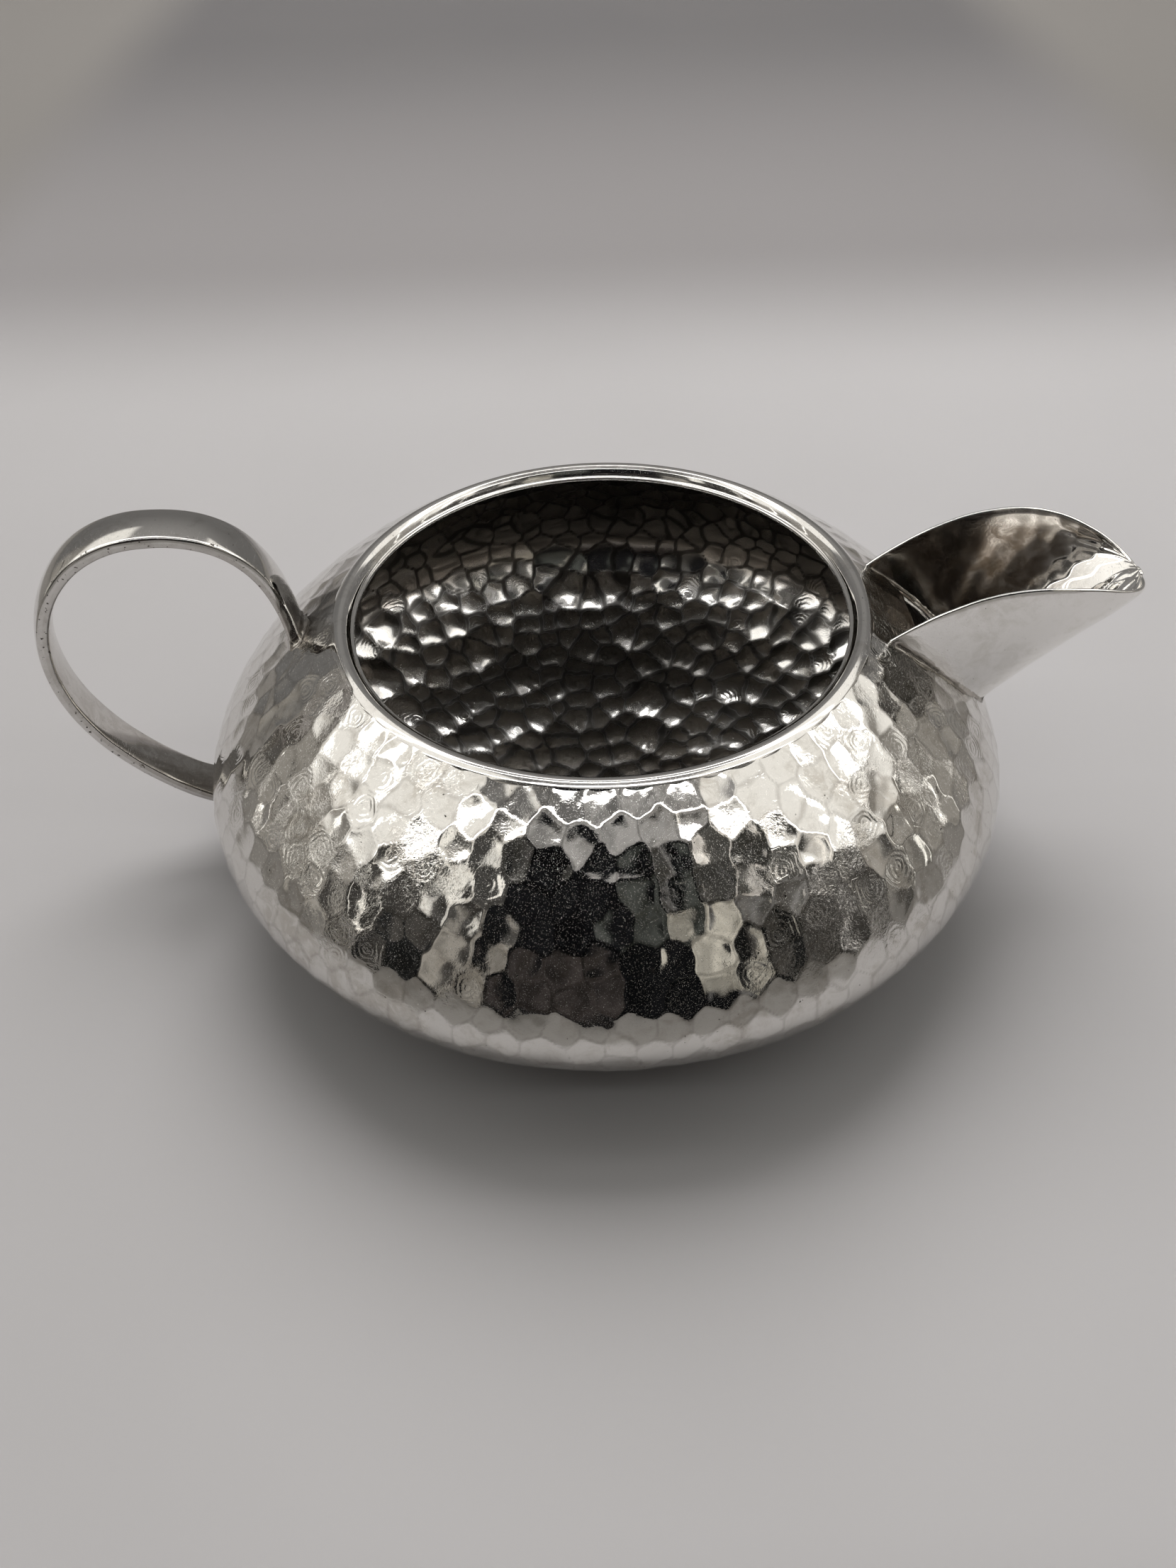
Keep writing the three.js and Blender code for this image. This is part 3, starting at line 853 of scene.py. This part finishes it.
def silver(name, colour, tarnish, rough, ripple=0.0, crinkle=0.0, marks=False, sides=False, stained=False):
    """Polished silver with scratches, tarnish, pits and the ripples that hammering leaves."""
    material = bpy.data.materials.new(name)
    material.use_nodes = True
    nodes = Nodes(material.node_tree)
    place = nodes.add("ShaderNodeTexCoord").outputs["Object"]
    lines = scratches(nodes, place, SCRATCH_LAYERS, 0.15)
    blotch = nodes.noise(place, 9.0, 4.0, 0.6, 0.4)
    cloud = nodes.noise(place, 2.2, 5.0, 0.65, 0.8)
    speck = nodes.noise(place, 0.55, 2.0, 0.5)
    pits = nodes.math("MULTIPLY", nodes.ramp(speck, 0.725, 0.76), nodes.ramp(cloud, 0.42, 0.6))
    if sides:
        near_side = nodes.ramp(nodes.attribute("strap_side"), 0.72, 0.95)
        more = nodes.math("MULTIPLY", nodes.ramp(speck, 0.66, 0.71), near_side)
        pits = nodes.math("MAXIMUM", pits, more)
    height = nodes.math("MULTIPLY", lines, -SCRATCH_DEPTH)
    height = nodes.math("SUBTRACT", height, nodes.math("MULTIPLY", pits, PIT_DEPTH))
    height = nodes.math("ADD", height, ripples(nodes, place, cloud, ripple, crinkle, marks))
    bump = nodes.add("ShaderNodeBump", {"Height": height, "Strength": 1.0, "Distance": BUMP_UNIT})
    dull = nodes.ramp(nodes.math("MULTIPLY", blotch, cloud), 0.2, 0.42)
    tone = nodes.mix(dull, (*colour, 1), (*tarnish, 1))
    tone = nodes.mix(pits, tone, PIT_DIRT)
    shine = nodes.math("MULTIPLY_ADD", dull, rough * 0.9, rough)
    if stained:
        stain = nodes.math("MULTIPLY", nodes.attribute("stained"), nodes.ramp(cloud, 0.36, 0.6, 0.62, 1.0))
        tone = nodes.mix(stain, tone, TARNISH_BROWN)
        shine = nodes.math("MULTIPLY_ADD", stain, 0.08, shine)
    shine = nodes.math("MULTIPLY_ADD", lines, 0.06, shine)
    if marks:
        tone, shine = hammered(nodes, place, cloud, tone, shine)
    shader = nodes.add("ShaderNodeBsdfPrincipled", {
        "Base Color": tone, "Metallic": 1.0, "Roughness": shine, "Normal": bump.outputs[0]})
    output = nodes.add("ShaderNodeOutputMaterial")
    nodes.tree.links.new(shader.outputs[0], output.inputs["Surface"])
    return material


def finish_piece(piece, node, material):
    piece.data.materials.clear()
    piece.data.materials.append(material)
    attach(piece, "root")
    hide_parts(node)


# ---- the jug ----

body = build_body()
cut_pour_hole(body)
finish_piece(body, "body_shell",
             silver("hammered_silver", (0.72, 0.705, 0.675), (0.55, 0.525, 0.485), 0.028,
                    ripple=0.34, crinkle=1.9, marks=True))
finish_piece(build_rim(), "mouth_rim",
             silver("rim_silver", (0.78, 0.765, 0.74), (0.68, 0.66, 0.63), 0.06, crinkle=0.04))
finish_piece(build_spout(), "spout_shell",
             silver("spout_silver", (0.9, 0.885, 0.86), (0.78, 0.76, 0.72), 0.05, crinkle=0.4, stained=True))
finish_piece(build_handle(), "handle_strap",
             silver("handle_silver", (0.71, 0.695, 0.67), (0.6, 0.58, 0.55), 0.055,
                    crinkle=0.04, sides=True, stained=True))
solder = silver("silver_solder", (0.5, 0.47, 0.43), (0.2, 0.18, 0.155), 0.14, crinkle=0.8)
finish_piece(spout_solder(), "spout_solder_seam", solder)
finish_piece(foot_solder("handle_solder_upper", True, 1.25, 71),
             "handle_upper_solder", solder)
finish_piece(foot_solder("handle_solder_lower", False, 1.15, 72),
             "handle_lower_solder", solder)


# ---- floor, light and camera ----

SHEET, TABLE = (0.268, 0.262, 0.263, 1), (0.12, 0.114, 0.107, 1)
SHEET_BEND, SHEET_REAR = (0.148, 0.142, 0.142, 1), (0.078, 0.075, 0.076, 1)
# Where one tone fades into the next, in metres along X or Y
# The left and front fades paint shade onto the floor: darker towards the left, and a shadow towards the
# camera
SIDE_FADE, FRONT_SHADE_FADE, LEFT_SHADE_FADE = (0.165, 0.215), (-0.13, -0.098), (-0.17, 0.1)
BEND_FADE, REAR_FADE = (0.14, 0.235), (0.22, 0.5)


def build_floor():
    """A pale sheet of paper on a darker table: it ends beside the jug and darkens behind it, with painted
    shade towards the left and a painted shadow towards the camera.
    """
    size = 1500.0
    points = [(-size, -size, -0.05), (size, -size, -0.05), (size, size, -0.05), (-size, size, -0.05)]
    mesh = bpy.data.meshes.new("floor")
    mesh.from_pydata([tuple(c * MM for c in p) for p in points], [], [(0, 1, 2, 3)])
    floor = bpy.data.objects.new("floor", mesh)
    bpy.context.scene.collection.objects.link(floor)
    material = bpy.data.materials.new("pale_floor")
    material.use_nodes = True
    nodes = Nodes(material.node_tree)
    place = nodes.add("ShaderNodeTexCoord").outputs["Object"]
    parts = nodes.separate(place)
    aside = nodes.ramp(nodes.math("ABSOLUTE", parts["X"]), *SIDE_FADE)
    # Painted shade: the sheet is a little darker towards the left
    tone = nodes.mix(nodes.ramp(parts["X"], *LEFT_SHADE_FADE, 0.14, 0.0), SHEET, TABLE)
    tone = nodes.mix(nodes.ramp(parts["Y"], *BEND_FADE), tone, SHEET_BEND)
    tone = nodes.mix(nodes.ramp(parts["Y"], *REAR_FADE), tone, SHEET_REAR)
    tone = nodes.mix(aside, tone, TABLE)
    # Painted shadow: the floor towards the camera turns dark
    tone = nodes.mix(nodes.ramp(parts["Y"], *FRONT_SHADE_FADE, 0.75, 0.0), tone, TABLE)
    cloud = nodes.noise(place, 90.0, 3.0)
    tone = nodes.mix(nodes.ramp(cloud, 0.3, 0.7, 0.0, 0.06), tone, TABLE)
    shader = nodes.add("ShaderNodeBsdfPrincipled", {
        "Base Color": tone, "Roughness": 0.8, "Specular IOR Level": 0.2})
    output = nodes.add("ShaderNodeOutputMaterial")
    nodes.tree.links.new(shader.outputs[0], output.inputs["Surface"])
    floor.data.materials.append(material)


# What the silver mirrors: (azimuth from, to, height from, to) in degrees, edge softness, colour.
# Azimuth 0 is the camera's side and 90 is the spout's.
ROOM_PANELS = [
    ((-124, -74, -14, 31), 4, (0.33, 0.31, 0.28)),
    ((74, 118, -14, 31), 4, (0.33, 0.31, 0.28)),
    ((-76, -28, -16, 33), 2, (0.058, 0.054, 0.049)),
    ((34, 76, -12, 31), 2, (0.08, 0.075, 0.068)),
    ((-43, -31, -5, 33), 1, (0.30, 0.28, 0.25)),
    ((-58, -47, -2, 20), 1, (0.02, 0.02, 0.02)),
    ((37, 44, -16, 27), 1, (0.016, 0.016, 0.016)),
    ((-66, -28, 33, 56), 1, (0.07, 0.067, 0.062)),
    ((28, 60, 33, 57), 1, (0.08, 0.077, 0.07)),
    ((-53, -46, 30, 58), 1, (1.0, 0.97, 0.9)),
    ((42, 48, 34, 58), 1, (1.05, 1.0, 0.93)),
    ((-116, -66, 32, 58), 2, (0.95, 0.91, 0.83)),
    ((61, 113, 31, 60), 2, (1.05, 1.0, 0.92)),
    ((-31, 26, -4, 56), 1, (0.007, 0.007, 0.008)),
    ((-26, 2, 1, 27), 2, (0.042, 0.036, 0.034)),
    ((21, 34, 8, 39), 1, (0.55, 0.52, 0.45)),
    ((4, 21, 30, 52), 2, (0.06, 0.064, 0.058)),
    ((-87, -85.6, -12, 31), 0.4, (2.2, 2.15, 2.0)),
    ((-105, -103.8, -10, 31), 0.4, (2.0, 1.95, 1.85)),
    ((-69, -68, -6, 33), 0.3, (1.3, 1.25, 1.15)),
    ((84, 85.4, -12, 31), 0.4, (2.2, 2.15, 2.0)),
    ((100, 101.2, -10, 31), 0.4, (2.0, 1.95, 1.85)),
    ((64, 65, -6, 31), 0.3, (1.2, 1.15, 1.1)),
    ((-122, -60, 9, 10), 0.3, (0.06, 0.055, 0.05)),
    ((60, 118, 12, 13), 0.3, (0.06, 0.055, 0.05)),
    ((-116, -66, 43, 44.6), 0.4, (0.10, 0.095, 0.085)),
    ((61, 113, 44, 45.6), 0.4, (0.10, 0.095, 0.085)),
    ((-93, -91, 31, 58), 0.4, (0.10, 0.095, 0.085)),
    ((87, 89, 31, 60), 0.4, (0.10, 0.095, 0.085)),
]

# The skylights left and right: degrees from the zenith sideways and towards the back
SKYLIGHT_SIDES, SKYLIGHT_BACK, SKYLIGHT = (25, 66), (-28, 46), (1.1, 1.07, 1.01, 1)
LOW_WALL, HIGH_WALL = (0.17, 0.165, 0.16, 1), (0.34, 0.33, 0.32, 1)
BACKDROP = (0.5, 0.49, 0.485, 1)

STRIP_REACH = 60  # degrees to either side of the zenith
# Lamp strips overhead: from, to in degrees behind the zenith, edge softness, strength
LAMP_STRIPS = [(15, 21, 1.0, 2.6), (4, 6.5, 0.4, 5.0), (-25, -22.8, 0.3, 6.0)]


def build_world():
    """A soft studio: pale walls, white panels left and right, a dark camera side and lamp strips above.

    The camera itself sees a plain backdrop.
    """
    world = bpy.data.worlds.new("studio")
    bpy.context.scene.world = world
    world.use_nodes = True
    nodes = Nodes(world.node_tree)
    direction = nodes.add("ShaderNodeTexCoord").outputs["Generated"]
    parts = nodes.separate(direction)
    x, y, z = parts["X"], parts["Y"], parts["Z"]
    azimuth = nodes.math("MULTIPLY", nodes.math("ARCTAN2", x, nodes.math("MULTIPLY", y, -1.0)), 180 / math.pi)
    elevation = nodes.math("MULTIPLY", nodes.math("ARCSINE", z), 180 / math.pi)
    overhead = nodes.math("MULTIPLY", nodes.math("ARCTAN2", y, z), 180 / math.pi)
    sideways = nodes.math("MULTIPLY", nodes.math("ARCTAN2", x, z), 180 / math.pi)

    def window(value, low, high, soft):
        return nodes.math("MULTIPLY", nodes.ramp(value, low - soft, low + soft),
                          nodes.ramp(value, high - soft, high + soft, 1.0, 0.0))

    tone = nodes.mix(nodes.ramp(elevation, 15, 62), LOW_WALL, HIGH_WALL)
    for (left, right, low, high), soft, colour in ROOM_PANELS:
        panel = nodes.math("MULTIPLY", window(azimuth, left, right, soft), window(elevation, low, high, soft))
        tone = nodes.mix(panel, tone, (*colour, 1))
    # The camera's side is uneven, as a furnished room is
    clutter = nodes.add("ShaderNodeTexNoise", {
        "Vector": direction, "Scale": 5.0, "Detail": 3.0, "Roughness": 0.6})
    clutter = nodes.ramp(clutter.outputs["Fac"], 0.35, 0.65, 0.5, 1.3)
    clutter = nodes.add("ShaderNodeMix", {0: nodes.ramp(y, -0.1, 0.15), 2: clutter, 3: 1.0}).outputs[0]
    colour = nodes.add("ShaderNodeVectorMath", {0: tone, 1: clutter}, operation="MULTIPLY").outputs[0]
    across = window(nodes.math("ABSOLUTE", sideways), *SKYLIGHT_SIDES, 3)
    skylight = nodes.math("MULTIPLY", across, window(overhead, *SKYLIGHT_BACK, 2))
    colour = nodes.mix(skylight, colour, SKYLIGHT)
    reach = window(sideways, -STRIP_REACH, STRIP_REACH, 3)
    for low, high, soft, power in LAMP_STRIPS:
        strip = nodes.math("MULTIPLY", window(overhead, low, high, soft), reach)
        strip = nodes.math("MULTIPLY", strip, power)
        colour = nodes.add("ShaderNodeVectorMath", {0: colour, 1: strip}, operation="ADD").outputs[0]
    seen = nodes.add("ShaderNodeLightPath").outputs["Is Camera Ray"]
    colour = nodes.mix(seen, colour, BACKDROP)
    background = nodes.add("ShaderNodeBackground", {"Color": colour, "Strength": 1.0})
    output = nodes.add("ShaderNodeOutputWorld")
    nodes.tree.links.new(background.outputs[0], output.inputs["Surface"])


def build_lamp():
    """A wide soft lamp above and behind the jug, which lights the floor and isn't mirrored in the silver."""
    lamp = bpy.data.lights.new("soft_lamp", "AREA")
    lamp.shape = "DISK"
    lamp.size = 0.9
    lamp.energy = 19.0
    lamp.color = (1.0, 0.985, 0.975)
    holder = bpy.data.objects.new("soft_lamp", lamp)
    holder.location = (0.0, 0.6, 0.92)
    holder.rotation_euler = holder.location.to_track_quat("Z", "Y").to_euler()
    holder.visible_glossy = False
    holder.visible_camera = False
    bpy.context.scene.collection.objects.link(holder)


CAMERA_LENS = 28.07
CAMERA_TILT, CAMERA_ROLL = math.radians(44.5), math.radians(-1.93)
LOOK_AT = np.array([-2.54, 0, 9.07])
CAMERA_DISTANCE = 188.2


def build_camera():
    data = bpy.data.cameras.new("camera")
    data.sensor_width = 36.0
    data.lens = CAMERA_LENS
    data.clip_start = 0.01
    camera = bpy.data.objects.new("camera", data)
    forward = np.array([0, math.cos(CAMERA_TILT), -math.sin(CAMERA_TILT)])
    up = np.array([0, math.sin(CAMERA_TILT), math.cos(CAMERA_TILT)])
    side = np.array([1.0, 0, 0])
    x_axis = math.cos(CAMERA_ROLL) * side + math.sin(CAMERA_ROLL) * up
    y_axis = -math.sin(CAMERA_ROLL) * side + math.cos(CAMERA_ROLL) * up
    place = (LOOK_AT - forward * CAMERA_DISTANCE) * MM
    pose = np.eye(4)
    pose[:3, 0], pose[:3, 1], pose[:3, 2], pose[:3, 3] = x_axis, y_axis, -forward, place
    camera.matrix_world = Matrix(pose.tolist())
    bpy.context.scene.collection.objects.link(camera)
    bpy.context.scene.camera = camera


build_floor()
build_world()
build_lamp()
build_camera()
bpy.context.scene.view_settings.view_transform = "Standard"

bpy.context.view_layer.update()
